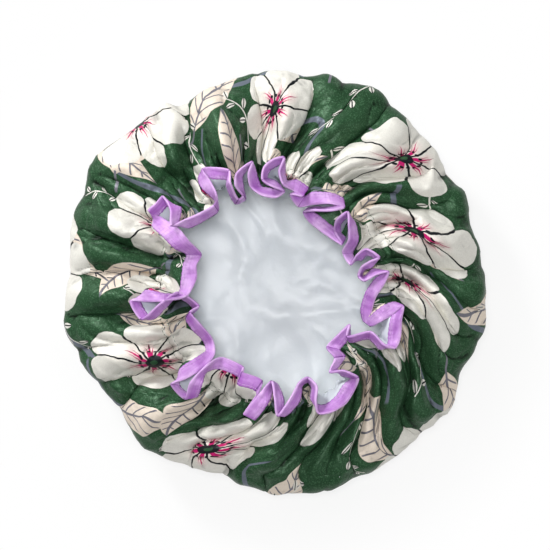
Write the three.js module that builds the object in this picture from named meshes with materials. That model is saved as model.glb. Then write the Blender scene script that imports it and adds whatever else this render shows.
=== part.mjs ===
// A double-layer shower cap, lying on its crown with its gathered opening facing up.
// Millimetres, +Z up. The origin is the middle of the cap's footprint, on the surface it rests on.
// Layers from the outside in: a satin shell, a hidden elastic and a soft lining, bound at their edge.
import * as THREE from "three";

// The lying cap
const RIM_RADIUS = 145;
const RIM_HEIGHT = 27;
const CROWN_RADIUS = 115;
const GATHER_RADIUS = 77;
const GATHER_HEIGHT = 52.5;
const GATHER_SHIFT_RIGHT = 1.6;
const GATHER_SHIFT_DOWN = 5.2;
const RUFFLE_LENGTH = 26;
const RUFFLE_RISE = 18;
const PLEAT_DEPTH = 2.6;

// Cloth, elastic and thread
const SATIN_THICKNESS = 0.4;
const LINING_THICKNESS = 0.3;
const CLEARANCE = 0.35;
const ELASTIC_WIDTH = 3;
const ELASTIC_THICKNESS = 0.9;
const BINDING_WIDTH = 8;
const BINDING_THICKNESS = 0.4;
const BINDING_FOLD_ROOM = 1;
const THREAD_RADIUS = 0.25;

// Where the elastic's lower edge and its stitches lie
const CHANNEL_LOW_SHARES = { radius: 0.037, rise: 0.863 };
const GATHER_STITCH_SHARE = 0.35;

// How the cloth gathers
const STATIONS_PER_LOOP = 6;
const LOOP_CORNER_SHARE = 0.88;
const PLEAT_UNEVENNESS_SHARE = 0.4;
const PLEAT_WAVES_ROUND = 3;

// How offset faces clear their corners
const MITER_LIMIT = 1.8;
const CLEARING_ROUNDS = 24;
const CLEARING_SHARE = 0.2;

// The outline of the lying cap, clockwise from the right as seen from above: its radius as a share
// of the rim radius.
const OUTLINE_SHARES = [
  0.99, 1.01, 1.01, 0.98, 1.02, 1.01, 1.0, 1.01, 1.01, 1.02, 1.01, 0.99, 0.96, 0.95,
  0.98, 1.0, 0.96, 0.95, 0.97, 1.0, 1.01, 0.98, 0.98, 1.0, 1.0, 1.02, 1.01, 0.99,
  0.95, 0.96, 0.98, 1.01, 1.0, 1.02, 1.02, 1.03, 0.99, 0.98, 0.97, 1.0, 0.97, 0.98,
];

// The rings of the body from the crown to the gathers. radius is a share of the way from the gathers
// to the rim. drop is a share of the rim's height, and rise a share of the way from it to the gathers.
// outline says how much of the outline's unevenness the ring has, and pleat how much of the pleats.
const BODY_RING_SHARES = [
  { radius: 0.86, drop: 0.3, outline: 1, pleat: 0 },
  { radius: 1, drop: 1, outline: 1, pleat: 0 },
  { radius: 0.84, rise: 0.52, outline: 0.8, pleat: 0.4 },
  { radius: 0.42, rise: 0.71, outline: 0.25, pleat: 1 },
];

// The loops of the ruffled edge, clockwise from the right as seen from above. Each has a hollow that
// leans in over the opening and a crest that leans out over the cap: its place and half width as
// shares of a turn, and how far it leans as a share of the ruffle's length.
const RUFFLE_LOOP_SHARES = [
  { hollow: 0.016, hollowHalf: 0.011, leanIn: 0.66, crest: 0.054, crestHalf: 0.015, leanOut: 0.62 },
  { hollow: 0.104, hollowHalf: 0.014, leanIn: 0.96, crest: 0.162, crestHalf: 0.022, leanOut: 0.63 },
  { hollow: 0.206, hollowHalf: 0.009, leanIn: 0.58, crest: 0.24, crestHalf: 0.009, leanOut: 0.52 },
  { hollow: 0.262, hollowHalf: 0.007, leanIn: 0.66, crest: 0.286, crestHalf: 0.009, leanOut: 0.65 },
  { hollow: 0.332, hollowHalf: 0.022, leanIn: 0.72, crest: 0.374, crestHalf: 0.009, leanOut: 0.86 },
  { hollow: 0.422, hollowHalf: 0.026, leanIn: 0.84, crest: 0.476, crestHalf: 0.011, leanOut: 0.88 },
  { hollow: 0.538, hollowHalf: 0.028, leanIn: 0.75, crest: 0.594, crestHalf: 0.013, leanOut: 0.92 },
  { hollow: 0.633, hollowHalf: 0.01, leanIn: 0.42, crest: 0.664, crestHalf: 0.009, leanOut: 0.82 },
  { hollow: 0.69, hollowHalf: 0.008, leanIn: 0.53, crest: 0.717, crestHalf: 0.008, leanOut: 0.58 },
  { hollow: 0.737, hollowHalf: 0.007, leanIn: 0.53, crest: 0.757, crestHalf: 0.008, leanOut: 0.62 },
  { hollow: 0.79, hollowHalf: 0.014, leanIn: 0.61, crest: 0.832, crestHalf: 0.016, leanOut: 0.1 },
  { hollow: 0.861, hollowHalf: 0.007, leanIn: 0.9, crest: 0.879, crestHalf: 0.006, leanOut: -0.2 },
  { hollow: 0.914, hollowHalf: 0.016, leanIn: 0.94, crest: 0.943, crestHalf: 0.006, leanOut: 0.02 },
  { hollow: 0.962, hollowHalf: 0.006, leanIn: 0.86, crest: 0.982, crestHalf: 0.006, leanOut: 0.12 },
];

const TURN = 2 * Math.PI;
const UP = new THREE.Vector3(0, 0, 1);
const RUFFLE_STATIONS = RUFFLE_LOOP_SHARES.length * STATIONS_PER_LOOP;
const RING_SPAN = RIM_RADIUS - GATHER_RADIUS;
const RING_RISE = GATHER_HEIGHT - RIM_HEIGHT;

// The faces of the layers, as offsets from the surface midway between shell and lining
const HALF_GAP = CLEARANCE / 2;
const CHANNEL_HALF_GAP = ELASTIC_THICKNESS / 2 + CLEARANCE;
const BINDING_OUTSIDE = HALF_GAP + SATIN_THICKNESS + CLEARANCE;
const BINDING_INSIDE = HALF_GAP + LINING_THICKNESS + CLEARANCE;

// A point of the cap at a share of a clockwise turn. The gathers lie a little off the middle of the
// rim, and shift says how much of that a ring has.
function around(turnShare, radius, height, shift) {
  const angle = -TURN * turnShare;
  return new THREE.Vector3(
    radius * Math.cos(angle) + GATHER_SHIFT_RIGHT * shift,
    radius * Math.sin(angle) - GATHER_SHIFT_DOWN * shift,
    height,
  );
}

// The outline's radius share at a share of a turn, between its listed values.
function outlineShare(turnShare) {
  const place = THREE.MathUtils.euclideanModulo(turnShare, 1) * OUTLINE_SHARES.length;
  const before = Math.floor(place);
  const next = OUTLINE_SHARES[(before + 1) % OUTLINE_SHARES.length];
  return THREE.MathUtils.lerp(OUTLINE_SHARES[before], next, place - before);
}

// Where the stations of the gathers lie round the cap: spread evenly over each loop of the ruffle.
function gatherTurnShares() {
  const starts = RUFFLE_LOOP_SHARES.map((loop, index) => {
    const before = RUFFLE_LOOP_SHARES.at(index - 1);
    const crestEnd = before.crest + before.crestHalf - (index === 0 ? 1 : 0);
    return (crestEnd + loop.hollow - loop.hollowHalf) / 2;
  });
  const ends = [...starts.slice(1), starts[0] + 1];
  return starts.flatMap((start, loop) => Array.from({ length: STATIONS_PER_LOOP }, (_, station) => (
    THREE.MathUtils.lerp(start, ends[loop], (station + 1 / 2) / STATIONS_PER_LOOP)
  )));
}

const gatherTurns = gatherTurnShares();
const bodyTurns = gatherTurns.filter((_, station) => station % 2 === 0);

// A ring of the body between the crown and the gathers. Its pleats rise and fall by turns.
function bodyRing(shares) {
  const height = shares.rise === undefined
    ? RIM_HEIGHT * shares.drop
    : RIM_HEIGHT + RING_RISE * shares.rise;
  return bodyTurns.map((turnShare, station) => {
    const uneven = 1 + (outlineShare(turnShare) - 1) * shares.outline;
    const strength = 1 - PLEAT_UNEVENNESS_SHARE * Math.sin(PLEAT_WAVES_ROUND * TURN * turnShare) ** 2;
    const pleat = PLEAT_DEPTH * shares.pleat * strength * (station % 2 ? -1 : 1);
    const radius = (GATHER_RADIUS + RING_SPAN * shares.radius) * uneven;
    return around(turnShare, radius, height + pleat, 1 - shares.radius);
  });
}

function roundRing(radius, height, turns, shift) {
  return turns.map((turnShare) => around(turnShare, radius, height, shift));
}

// The free edge of the ruffle, with three stations on each hollow and three on each crest.
function ruffleEdge() {
  const places = RUFFLE_LOOP_SHARES.flatMap((loop) => [
    { turnShare: loop.hollow - loop.hollowHalf, lean: -loop.leanIn * LOOP_CORNER_SHARE },
    { turnShare: loop.hollow, lean: -loop.leanIn },
    { turnShare: loop.hollow + loop.hollowHalf, lean: -loop.leanIn * LOOP_CORNER_SHARE },
    { turnShare: loop.crest - loop.crestHalf, lean: loop.leanOut * LOOP_CORNER_SHARE },
    { turnShare: loop.crest, lean: loop.leanOut },
    { turnShare: loop.crest + loop.crestHalf, lean: loop.leanOut * LOOP_CORNER_SHARE },
  ]);
  return places.map(({ turnShare, lean }) => {
    const rise = Math.min(RUFFLE_LENGTH * Math.sqrt(1 - lean ** 2), RUFFLE_RISE);
    return around(turnShare, GATHER_RADIUS + RUFFLE_LENGTH * lean, GATHER_HEIGHT + rise, 1);
  });
}

// The elastic's channel in profile: from its lower edge to the gathers.
const channelLow = new THREE.Vector2(
  GATHER_RADIUS + RING_SPAN * CHANNEL_LOW_SHARES.radius,
  RIM_HEIGHT + RING_RISE * CHANNEL_LOW_SHARES.rise,
);
const channelHigh = new THREE.Vector2(GATHER_RADIUS, GATHER_HEIGHT);
const channelAlong = channelHigh.clone().sub(channelLow).normalize();
const channelOut = new THREE.Vector2(channelAlong.y, -channelAlong.x);

// The surface midway between the layers, ring by ring from the crown's middle to the free edge.
function middleSurface() {
  const crownHeight = HALF_GAP + SATIN_THICKNESS;
  const gather = roundRing(GATHER_RADIUS, GATHER_HEIGHT, gatherTurns, 1);
  const edge = ruffleEdge();
  const seamShare = 1 - BINDING_WIDTH / RUFFLE_LENGTH;
  return [
    [new THREE.Vector3(0, 0, crownHeight)],
    roundRing(CROWN_RADIUS, crownHeight, bodyTurns, 0),
    ...BODY_RING_SHARES.map(bodyRing),
    roundRing(channelLow.x, channelLow.y, gatherTurns, 1),
    gather,
    gather.map((point, station) => point.clone().lerp(edge[station], seamShare)),
    edge,
  ];
}

// The triangles of a skin through the rings, as numbers of its points. A ring has as many points as
// the one before it, or twice as many, or follows a single point.
function skinTriangles(rings) {
  const triangles = [];
  let start = 0;
  for (let level = 0; level + 1 < rings.length; level += 1) {
    const count = rings[level].length;
    const nextCount = rings[level + 1].length;
    const nextStart = start + count;
    const ratio = nextCount / count;
    for (let i = 0; i < nextCount; i += 1) {
      const apex = start + (Math.ceil(i / ratio) % count);
      triangles.push([apex, nextStart + i, nextStart + ((i + 1) % nextCount)]);
    }
    for (let i = 0; count > 1 && i < count; i += 1) {
      triangles.push([start + i, nextStart + ((i * ratio + 1) % nextCount), start + ((i + 1) % count)]);
    }
    start = nextStart;
  }
  return triangles;
}

// The direction, of length 1, that points out of all the given faces as squarely as it can.
function clearingDirection(normals) {
  const direction = normals.reduce((sum, normal) => sum.add(normal), new THREE.Vector3()).normalize();
  for (let round = 0; round < CLEARING_ROUNDS; round += 1) {
    const worst = normals.reduce((least, n) => (n.dot(direction) < least.dot(direction) ? n : least));
    direction.addScaledVector(worst, CLEARING_SHARE / (1 + round)).normalize();
  }
  return direction;
}

// For each point of the middle surface, the step that moves its faces out by one unit.
function offsetSteps(rings, triangles) {
  const points = rings.flat();
  const normals = points.map(() => []);
  for (const [a, b, c] of triangles) {
    const edgeOne = points[b].clone().sub(points[a]);
    const normal = points[c].clone().sub(points[a]);
    normal.crossVectors(edgeOne, normal).normalize();
    for (const corner of [a, b, c]) {
      normals[corner].push(normal);
    }
  }
  const crownPoints = 1 + rings[1].length;
  return points.map((_, index) => {
    if (index < crownPoints) {
      return UP.clone().negate();
    }
    const direction = clearingDirection(normals[index]);
    const least = Math.min(...normals[index].map((normal) => normal.dot(direction)));
    return direction.multiplyScalar(Math.min(1 / Math.max(least, 1 / MITER_LIMIT), MITER_LIMIT));
  });
}

const rings = middleSurface();
const triangles = skinTriangles(rings);
const steps = offsetSteps(rings, triangles);
const levelOf = rings.flatMap((ring, level) => ring.map(() => level));
const channelLevels = [rings.length - 4, rings.length - 3];

function solidGeometry(points, faces) {
  const geometry = new THREE.BufferGeometry();
  geometry.setAttribute("position", new THREE.Float32BufferAttribute(points.flatMap((p) => p.toArray()), 3));
  geometry.setIndex(faces.flat());
  geometry.computeVertexNormals();
  return geometry;
}

// The middle surface moved out by the gap beside it and a thickness, on side 1 or -1.
function layerFace(side, thickness) {
  return rings.flat().map((point, index) => {
    const gap = channelLevels.includes(levelOf[index]) ? CHANNEL_HALF_GAP : HALF_GAP;
    return point.clone().addScaledVector(steps[index], side * (gap + thickness));
  });
}

// A layer of cloth between two faces, closed along its free edge.
function clothLayer(outerFace, innerFace) {
  const inner = outerFace.length;
  const edgeStart = inner - RUFFLE_STATIONS;
  const faces = [...triangles, ...triangles.map(([a, b, c]) => [inner + a, inner + c, inner + b])];
  for (let i = 0; i < RUFFLE_STATIONS; i += 1) {
    const here = edgeStart + i;
    const next = edgeStart + ((i + 1) % RUFFLE_STATIONS);
    faces.push([next, here, inner + here], [next, inner + here, inner + next]);
  }
  return solidGeometry([...outerFace, ...innerFace], faces);
}

// A closed band round the cap: the same section at every station of the ruffle. A side that runs from
// the free edge back to the seam is turned, so that its triangles match the cloth's.
function closedBand(sections, turnedSides = []) {
  const sides = sections[0].length;
  const faces = [];
  sections.forEach((_, station) => {
    const next = (station + 1) % sections.length;
    for (let side = 0; side < sides; side += 1) {
      const beside = (side + 1) % sides;
      const [a, b] = [station * sides + side, station * sides + beside];
      const [c, d] = [next * sides + side, next * sides + beside];
      faces.push(...(turnedSides.includes(side) ? [[a, b, c], [b, d, c]] : [[a, b, d], [a, d, c]]));
    }
  });
  return solidGeometry(sections.flat(), faces);
}

// The seam line and the free edge at each station of the ruffle, with the way between them.
function ruffleFrames() {
  const count = rings.flat().length;
  return rings.at(-1).map((edge, station) => {
    const seam = rings.at(-2)[station];
    return {
      seam,
      edge,
      along: edge.clone().sub(seam).normalize(),
      seamStep: steps[count - 2 * RUFFLE_STATIONS + station],
      edgeStep: steps[count - RUFFLE_STATIONS + station],
    };
  });
}

function satinShell() {
  return clothLayer(layerFace(1, SATIN_THICKNESS), layerFace(1, 0));
}

function lining() {
  return clothLayer(layerFace(-1, 0), layerFace(-1, LINING_THICKNESS));
}

// The binding, folded over the free edge of both layers like a long letter U.
function edgeBinding() {
  const outside = BINDING_OUTSIDE + BINDING_THICKNESS;
  const inside = -BINDING_INSIDE - BINDING_THICKNESS;
  return closedBand(ruffleFrames().map(({ seam, edge, along, seamStep, edgeStep }) => {
    const atSeam = (offset) => seam.clone().addScaledVector(seamStep, offset);
    const atEdge = (offset, past) => edge.clone().addScaledVector(edgeStep, offset).addScaledVector(along, past);
    return [
      atSeam(outside),
      atEdge(outside, BINDING_FOLD_ROOM + BINDING_THICKNESS),
      atEdge(inside, BINDING_FOLD_ROOM + BINDING_THICKNESS),
      atSeam(inside),
      atSeam(-BINDING_INSIDE),
      atEdge(-BINDING_INSIDE, BINDING_FOLD_ROOM),
      atEdge(BINDING_OUTSIDE, BINDING_FOLD_ROOM),
      atSeam(BINDING_OUTSIDE),
    ];
  }), [2, 6]);
}

// The row of stitches that holds the binding, along the lower edge of its outer leg.
function bindingStitching() {
  const offset = BINDING_OUTSIDE + BINDING_THICKNESS + CLEARANCE + THREAD_RADIUS;
  return closedBand(ruffleFrames().map(({ seam, along, seamStep }) => {
    const middle = seam.clone().addScaledVector(seamStep, offset);
    const out = seamStep.clone().normalize();
    return [
      middle.clone().addScaledVector(out, THREAD_RADIUS),
      middle.clone().addScaledVector(along, THREAD_RADIUS),
      middle.clone().addScaledVector(out, -THREAD_RADIUS),
      middle.clone().addScaledVector(along, -THREAD_RADIUS),
    ];
  }));
}

// A ring in the channel, whose corners are given from its middle, along the channel and out of it.
function channelRing(middle, corners) {
  const outline = corners.map(([along, out]) => (
    middle.clone().addScaledVector(channelAlong, along).addScaledVector(channelOut, out)
  ));
  return closedBand(gatherTurns.map((turn) => outline.map(({ x, y }) => around(turn, x, y, 1))));
}

function elasticBand() {
  const [halfWidth, halfThickness] = [ELASTIC_WIDTH / 2, ELASTIC_THICKNESS / 2];
  return channelRing(channelLow.clone().lerp(channelHigh, 1 / 2), [
    [-halfWidth, halfThickness],
    [halfWidth, halfThickness],
    [halfWidth, -halfThickness],
    [-halfWidth, -halfThickness],
  ]);
}

// The row of stitches outside the shell that holds the elastic in its channel.
function gatherStitching() {
  const offset = CHANNEL_HALF_GAP + SATIN_THICKNESS + CLEARANCE + THREAD_RADIUS;
  const middle = channelLow.clone().lerp(channelHigh, GATHER_STITCH_SHARE).addScaledVector(channelOut, offset);
  return channelRing(middle, [
    [0, THREAD_RADIUS],
    [THREAD_RADIUS, 0],
    [0, -THREAD_RADIUS],
    [-THREAD_RADIUS, 0],
  ]);
}

function piece(name, geometry, color, roughness) {
  const material = new THREE.MeshStandardMaterial({ color, roughness, metalness: 0 });
  const mesh = new THREE.Mesh(geometry, material);
  mesh.name = name;
  return mesh;
}

const cap = new THREE.Group();
cap.add(
  piece("outer_satin_shell", satinShell(), 0x30503a, 0.45),
  piece("soft_lining", lining(), 0xcdd5dc, 0.4),
  piece("elastic_band", elasticBand(), 0xf2f2ee, 0.9),
  piece("edge_binding", edgeBinding(), 0xbf86d8, 0.4),
  piece("gather_stitching", gatherStitching(), 0x2c4a36, 0.8),
  piece("binding_stitching", bindingStitching(), 0xc79add, 0.8),
);

// The footprint's middle goes to the origin.
const footprint = new THREE.Box3().setFromObject(cap).getCenter(new THREE.Vector3());
cap.position.set(-footprint.x, -footprint.y, 0);

export default cap;
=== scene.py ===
"""A double-layer shower cap lying on its crown, its ruffled and gathered opening facing up.

Metres, +Z up, +Y towards the top of the photograph. The satin shell, the lining, the binding, the
elastic and the stitches are each made here, in the place of their solids.
"""
import math

import bpy
import numpy as np
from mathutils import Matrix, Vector
from mathutils.bvhtree import BVHTree


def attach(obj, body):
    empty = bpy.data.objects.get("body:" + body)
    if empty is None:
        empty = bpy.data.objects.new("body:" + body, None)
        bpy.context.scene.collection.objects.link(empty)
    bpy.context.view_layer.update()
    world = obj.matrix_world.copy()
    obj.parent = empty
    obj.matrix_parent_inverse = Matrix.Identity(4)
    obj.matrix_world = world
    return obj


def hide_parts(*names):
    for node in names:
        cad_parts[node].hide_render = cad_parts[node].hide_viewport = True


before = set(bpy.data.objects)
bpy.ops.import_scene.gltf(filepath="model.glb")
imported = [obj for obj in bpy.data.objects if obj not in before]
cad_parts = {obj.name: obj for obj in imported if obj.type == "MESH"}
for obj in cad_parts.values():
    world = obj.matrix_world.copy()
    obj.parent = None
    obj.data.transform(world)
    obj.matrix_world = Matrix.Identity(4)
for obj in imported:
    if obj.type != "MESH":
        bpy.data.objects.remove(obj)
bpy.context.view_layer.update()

# The lying cap
MM = 0.001
TURN = 2 * math.pi
GATHER_RADIUS = 77 * MM
GATHER_HEIGHT = 52.5 * MM
RUFFLE_LENGTH = 26 * MM
BINDING_WIDTH = 8 * MM
UNBOUND_LENGTH = RUFFLE_LENGTH - BINDING_WIDTH
RIM_RADIUS = 145 * MM
RIM_HEIGHT = 27 * MM

# The layers, as distances from the surface midway between them, and the channel for the elastic
LAYER_OFFSET = 0.3 * MM
CHANNEL_OFFSET = 1.1 * MM
CHANNEL_MIDDLE = 2.1 * MM
CHANNEL_REACH = 2.6 * MM
ELASTIC_WIDTH = 3 * MM
ELASTIC_THICKNESS = 0.6 * MM
ELASTIC_OFFSET = 0.4 * MM
SHELL_FLOOR = 0.05 * MM
LINING_FLOOR = 0.6 * MM

# The sewing
TAPE_LOOSENESS = 0.78
STITCH_LENGTH = 2.5 * MM
STITCH_GAP = 0.6 * MM
THREAD_RADIUS = 0.17 * MM
BINDING_HALF = 0.75 * MM
BINDING_STITCH_SHARE = 0.16
BINDING_STITCH_OFFSET = 0.95 * BINDING_HALF
GATHER_STITCH_ALONG = (-0.6 * MM, 5.2 * MM)
GATHER_STITCH_OFFSET = 0.1 * MM

# The photograph's frame, and the camera that sees it
PHOTO_SIZE = 550
PHOTO_MIDDLE = PHOTO_SIZE / 2
CAP_MIDDLE_PX = (274.6, 282.5)
GATHER_MIDDLE_PX = (277, 290)
RIM_ACROSS_PX = 423
CAMERA_HEIGHT = 1.55
SENSOR = 36
RIM_PIXEL = 2 * RIM_RADIUS / RIM_ACROSS_PX
PIXEL_SLOPE = RIM_PIXEL / (CAMERA_HEIGHT - RIM_HEIGHT)
CAMERA_X = (PHOTO_MIDDLE - CAP_MIDDLE_PX[0]) * RIM_PIXEL
CAMERA_Y = (CAP_MIDDLE_PX[1] - PHOTO_MIDDLE) * RIM_PIXEL

# How finely the rings are divided: up to a distance from the gathers, and then down to a radius, the
# number of points in a ring and the step to the next ring
RUFFLE_POINTS = 1440
ANNULUS_POINTS = 720
BODY_POINTS = 360
UPPER_STEPS = [(24 * MM, RUFFLE_POINTS, 1.1 * MM), (62 * MM, ANNULUS_POINTS, 1.1 * MM)]
LOWER_STEPS = [
    (112 * MM, BODY_POINTS, 2.4 * MM), (40 * MM, 180, 4 * MM), (18 * MM, 90, 4 * MM), (7 * MM, 45, 3 * MM),
    (-1, 15, 3 * MM),
]
PROFILE_SAMPLES = 4000

# The binding, station by station clockwise round the ruffle, in pixels of the photograph: its free
# edge x and y and its sewn edge x and y
RIBBON_PX = [
    (202, 254, 186, 254), (190, 241, 174, 248), (179, 228, 164, 238), (160, 216, 152, 226),
    (148, 211, 156, 217), (156, 203, 161, 213), (163, 196, 168, 206), (170, 210, 181, 208),
    (171, 226, 179, 223), (184, 220, 188, 228), (200, 213, 203, 221), (214, 205, 218, 211),
    (217, 195, 215, 200), (210, 180, 202, 188), (203, 169, 199, 177), (213, 167, 214, 179),
    (229, 170, 227, 180), (231, 184, 227, 187), (238, 199, 235, 203), (243, 196, 245, 199),
    (235, 186, 243, 187), (237, 173, 243, 175), (252, 162, 253, 166), (248, 174, 257, 176),
    (250, 187, 261, 186), (262, 196, 267, 188), (276, 198, 274, 189), (284, 192, 281, 187),
    (272, 187, 275, 181), (262, 180, 267, 178), (264, 167, 270, 170), (274, 159, 278, 165),
    (284, 158, 284, 163), (279, 171, 285, 173), (283, 185, 287, 181), (293, 191, 297, 180),
    (302, 197, 308, 188), (290, 195, 299, 190), (298, 207, 305, 196), (313, 205, 313, 192),
    (330, 204, 330, 193), (344, 208, 343, 199), (331, 211, 332, 207), (304, 212, 309, 208),
    (312, 225, 321, 217), (341, 245, 345, 237), (334, 231, 341, 233), (336, 220, 341, 223),
    (347, 212, 348, 217), (348, 224, 355, 223), (348, 240, 358, 240), (342, 252, 353, 252),
    (350, 265, 354, 258), (356, 255, 361, 260), (366, 249, 367, 255), (379, 257, 376, 259),
    (370, 261, 372, 267), (361, 267, 365, 269), (358, 276, 362, 275), (364, 281, 366, 276),
    (376, 275, 373, 269), (388, 272, 383, 272), (385, 283, 375, 279), (376, 297, 366, 292),
    (372, 311, 361, 309), (371, 326, 364, 321), (380, 322, 374, 313), (391, 316, 384, 305),
    (403, 306, 396, 303), (402, 320, 390, 321), (401, 337, 388, 336), (395, 348, 388, 344),
    (383, 343, 380, 349), (370, 331, 369, 339), (347, 336, 350, 342), (349, 324, 350, 334),
    (338, 334, 346, 342), (326, 347, 340, 350), (334, 358, 345, 357), (329, 372, 338, 368),
    (343, 370, 341, 375), (358, 377, 351, 378), (355, 390, 343, 385), (346, 404, 336, 396),
    (331, 412, 327, 404), (318, 413, 318, 405), (316, 400, 311, 399), (317, 386, 312, 388),
    (308, 377, 308, 382), (299, 382, 302, 386), (289, 399, 299, 402), (277, 415, 284, 416),
    (274, 397, 283, 397), (271, 381, 275, 383), (258, 395, 269, 402), (243, 414, 254, 420),
    (263, 382, 256, 392), (243, 372, 238, 385), (243, 366, 239, 377), (222, 357, 219, 369),
    (208, 364, 206, 372), (190, 382, 202, 385), (184, 399, 196, 397), (171, 384, 180, 386),
    (186, 379, 180, 369), (204, 368, 197, 357), (215, 354, 206, 351), (213, 339, 203, 340),
    (202, 325, 193, 330), (191, 312, 186, 318), (199, 305, 195, 310), (179, 292, 178, 297),
    (161, 303, 165, 308), (141, 319, 152, 319), (130, 301, 140, 301), (146, 302, 146, 290),
    (165, 301, 165, 294), (187, 296, 179, 294), (197, 279, 181, 280), (197, 265, 183, 265),
]
# How far some stations are lifted over their neighbours, in mm
RIBBON_LIFTS = {62: 2, 63: 4, 64: 4, 65: 2}

# How the stations settle: the rounds, the first guess at the ruffle's height, its least height, how
# widely the turns and radii of the gathers are evened out, and how far the radii follow the ruffle
STATION_ROUNDS = 3
FIRST_RISE = 12 * MM
LEAST_RISE = 4 * MM
TURN_SPREAD = 3.0
REACH_SPREAD = 5.0
REACH_SHARE = 0.3

# The ruffle's slope as it leaves the gathers, how firmly it leaves them and reaches the binding, and
# its rings, as shares of the way to the binding and over the binding
RUFFLE_START_SLOPE = 1.4
RUFFLE_LEAVING = 0.8
RUFFLE_REACHING = 0.6
RUFFLE_PARTS = (0.05, 0.12, 0.2, 0.3, 0.4, 0.5, 0.6, 0.7, 0.8, 0.9, 1.0)
RUFFLE_SMOOTH_END = 0.6
RUFFLE_SMOOTHING = 5
BINDING_PARTS = (0.3, 0.6, 0.85)


def smooth_round(values, spread):
    """Values round a closed loop, blurred by a bell curve whose spread is in places."""
    reach = int(4 * spread) + 1
    offsets = np.arange(-reach, reach + 1)
    weights = np.exp(-0.5 * (offsets / spread) ** 2)
    weights /= weights.sum()
    return sum(weight * np.roll(values, -offset, axis=0) for weight, offset in zip(weights, offsets))


def round_places(places, count):
    """The points of a closed ring before and after places counted in points, and the part between."""
    before = np.floor(places).astype(int)
    return before % count, (before + 1) % count, places - before


def between(first, second, part):
    return (1 - part) * first + part * second


def bridge(first, last, leave, arrive, part):
    """A point between two others, on a smooth line with the given directions at its ends."""
    square, cube = part**2, part**3
    return (
        (1 - 3 * square + 2 * cube) * first + (3 * square - 2 * cube) * last
        + (part - 2 * square + cube) * leave + (cube - square) * arrive
    )


def closed_curve(points, places, looseness=1.0):
    """A smooth closed curve through the points, read at places counted in points.

    A looseness below 1 keeps the stretches between the points straighter and the bends tighter.
    """
    before, after, part = round_places(places, len(points))
    p0, p3 = points[before - 1], points[(after + 1) % len(points)]
    p1, p2 = points[before], points[after]
    return bridge(p1, p2, (p2 - p0) * 0.5 * looseness, (p3 - p1) * 0.5 * looseness, part[:, None])


def at_pixel(pixels, height):
    """The points at the given height that the camera sees at the pixels."""
    scale = PIXEL_SLOPE * (CAMERA_HEIGHT - height)
    x = CAMERA_X + (pixels[:, 0] - PHOTO_MIDDLE) * scale
    y = CAMERA_Y - (pixels[:, 1] - PHOTO_MIDDLE) * scale
    return np.column_stack([x, y, height])


def unit(vectors):
    return vectors / np.maximum(np.linalg.norm(vectors, axis=-1, keepdims=True), 1e-12)


def length_along(line):
    return np.concatenate([[0], np.cumsum(np.linalg.norm(np.diff(line, axis=0), axis=1))])


def even_turns(count):
    return TURN * np.arange(count) / count


def round_points(radius, turn, height):
    return np.column_stack([radius * np.cos(turn), radius * np.sin(turn), height + 0 * turn])


def turned(points, heading):
    """Points in a plane, seen along and across a heading."""
    c, s = math.cos(heading), math.sin(heading)
    return points @ np.array([[c, -s], [s, c]])


# The photograph shows the gathers a little off the middle of the rim.
GATHER_MIDDLE = at_pixel(np.array([GATHER_MIDDLE_PX], float), np.array([GATHER_HEIGHT]))[0]


def ribbon_stations():
    """The gather, sewn edge and free edge at each station, and the turn at which each one gathers."""
    table = np.array(RIBBON_PX, float)
    lift = np.array([RIBBON_LIFTS.get(station, 0) for station in range(len(table))]) * MM
    height = np.full(len(table), GATHER_HEIGHT + FIRST_RISE)
    even = even_turns(len(table))
    for _ in range(STATION_ROUNDS):
        free = at_pixel(table[:, 0:2], height)
        sewn = at_pixel(table[:, 2:4], height)
        around = sewn - GATHER_MIDDLE
        turns = np.unwrap(np.arctan2(around[:, 1], around[:, 0]))
        turns = turns[0] + smooth_round(turns - turns[0] + even, TURN_SPREAD) - even
        reach = smooth_round(np.hypot(around[:, 0], around[:, 1]), REACH_SPREAD)
        radius = GATHER_RADIUS + REACH_SHARE * (reach - reach.mean())
        gather = GATHER_MIDDLE + round_points(radius, turns, 0)
        lean = np.hypot(*(sewn - gather)[:, :2].T)
        rise = np.sqrt(np.maximum(UNBOUND_LENGTH**2 - lean**2, LEAST_RISE**2))
        width = np.hypot(*(free - sewn)[:, :2].T)
        height = GATHER_HEIGHT + rise + lift
        sewn[:, 2] = height
        free[:, 2] = height + np.sqrt(np.maximum(BINDING_WIDTH**2 - width**2, 0))
    return gather, sewn, free, turns


gather_at, sewn_at, free_at, turn_at = ribbon_stations()

# The outline of the lying cap in the photograph, clockwise from its left, and how finely it is rounded:
# the points in a turn over the spread of the smoothing
OUTLINE_PX = [
    (66, 299), (69, 271), (71.5, 239), (72, 222), (74.5, 213), (84.5, 195), (86, 176), (87.5, 170),
    (98, 156), (114, 143), (133.5, 126), (152, 114), (168, 103.6), (172, 110), (179, 110),
    (190, 101), (205, 91), (224, 83), (242, 77), (251, 72), (265, 70), (285, 71), (296, 74),
    (307, 75), (325, 73.5), (334, 77), (342, 84), (356, 83), (371, 87), (380, 91), (395, 107.5),
    (412, 126), (428, 143), (438, 153), (444, 167), (445, 174), (464, 190), (467, 205), (470, 225),
    (476.5, 244), (480, 264), (483, 287), (485, 318), (481, 336.5), (475, 350), (463, 366),
    (459, 373), (458, 390), (455, 404), (440, 418), (421, 434.5), (403, 451), (388, 462),
    (369, 473), (348, 482), (326.5, 491), (311, 494), (288, 494), (273, 495), (262, 493),
    (250, 486.5), (238, 483), (222, 472), (207, 470), (192, 468), (173, 462), (161, 457.5),
    (144, 448), (133.5, 428), (124, 418), (110.5, 398), (95, 378), (78, 352), (69, 336.5),
    (64.3, 321), (64.6, 310),
]
OUTLINE_SMOOTHING = 700

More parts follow.
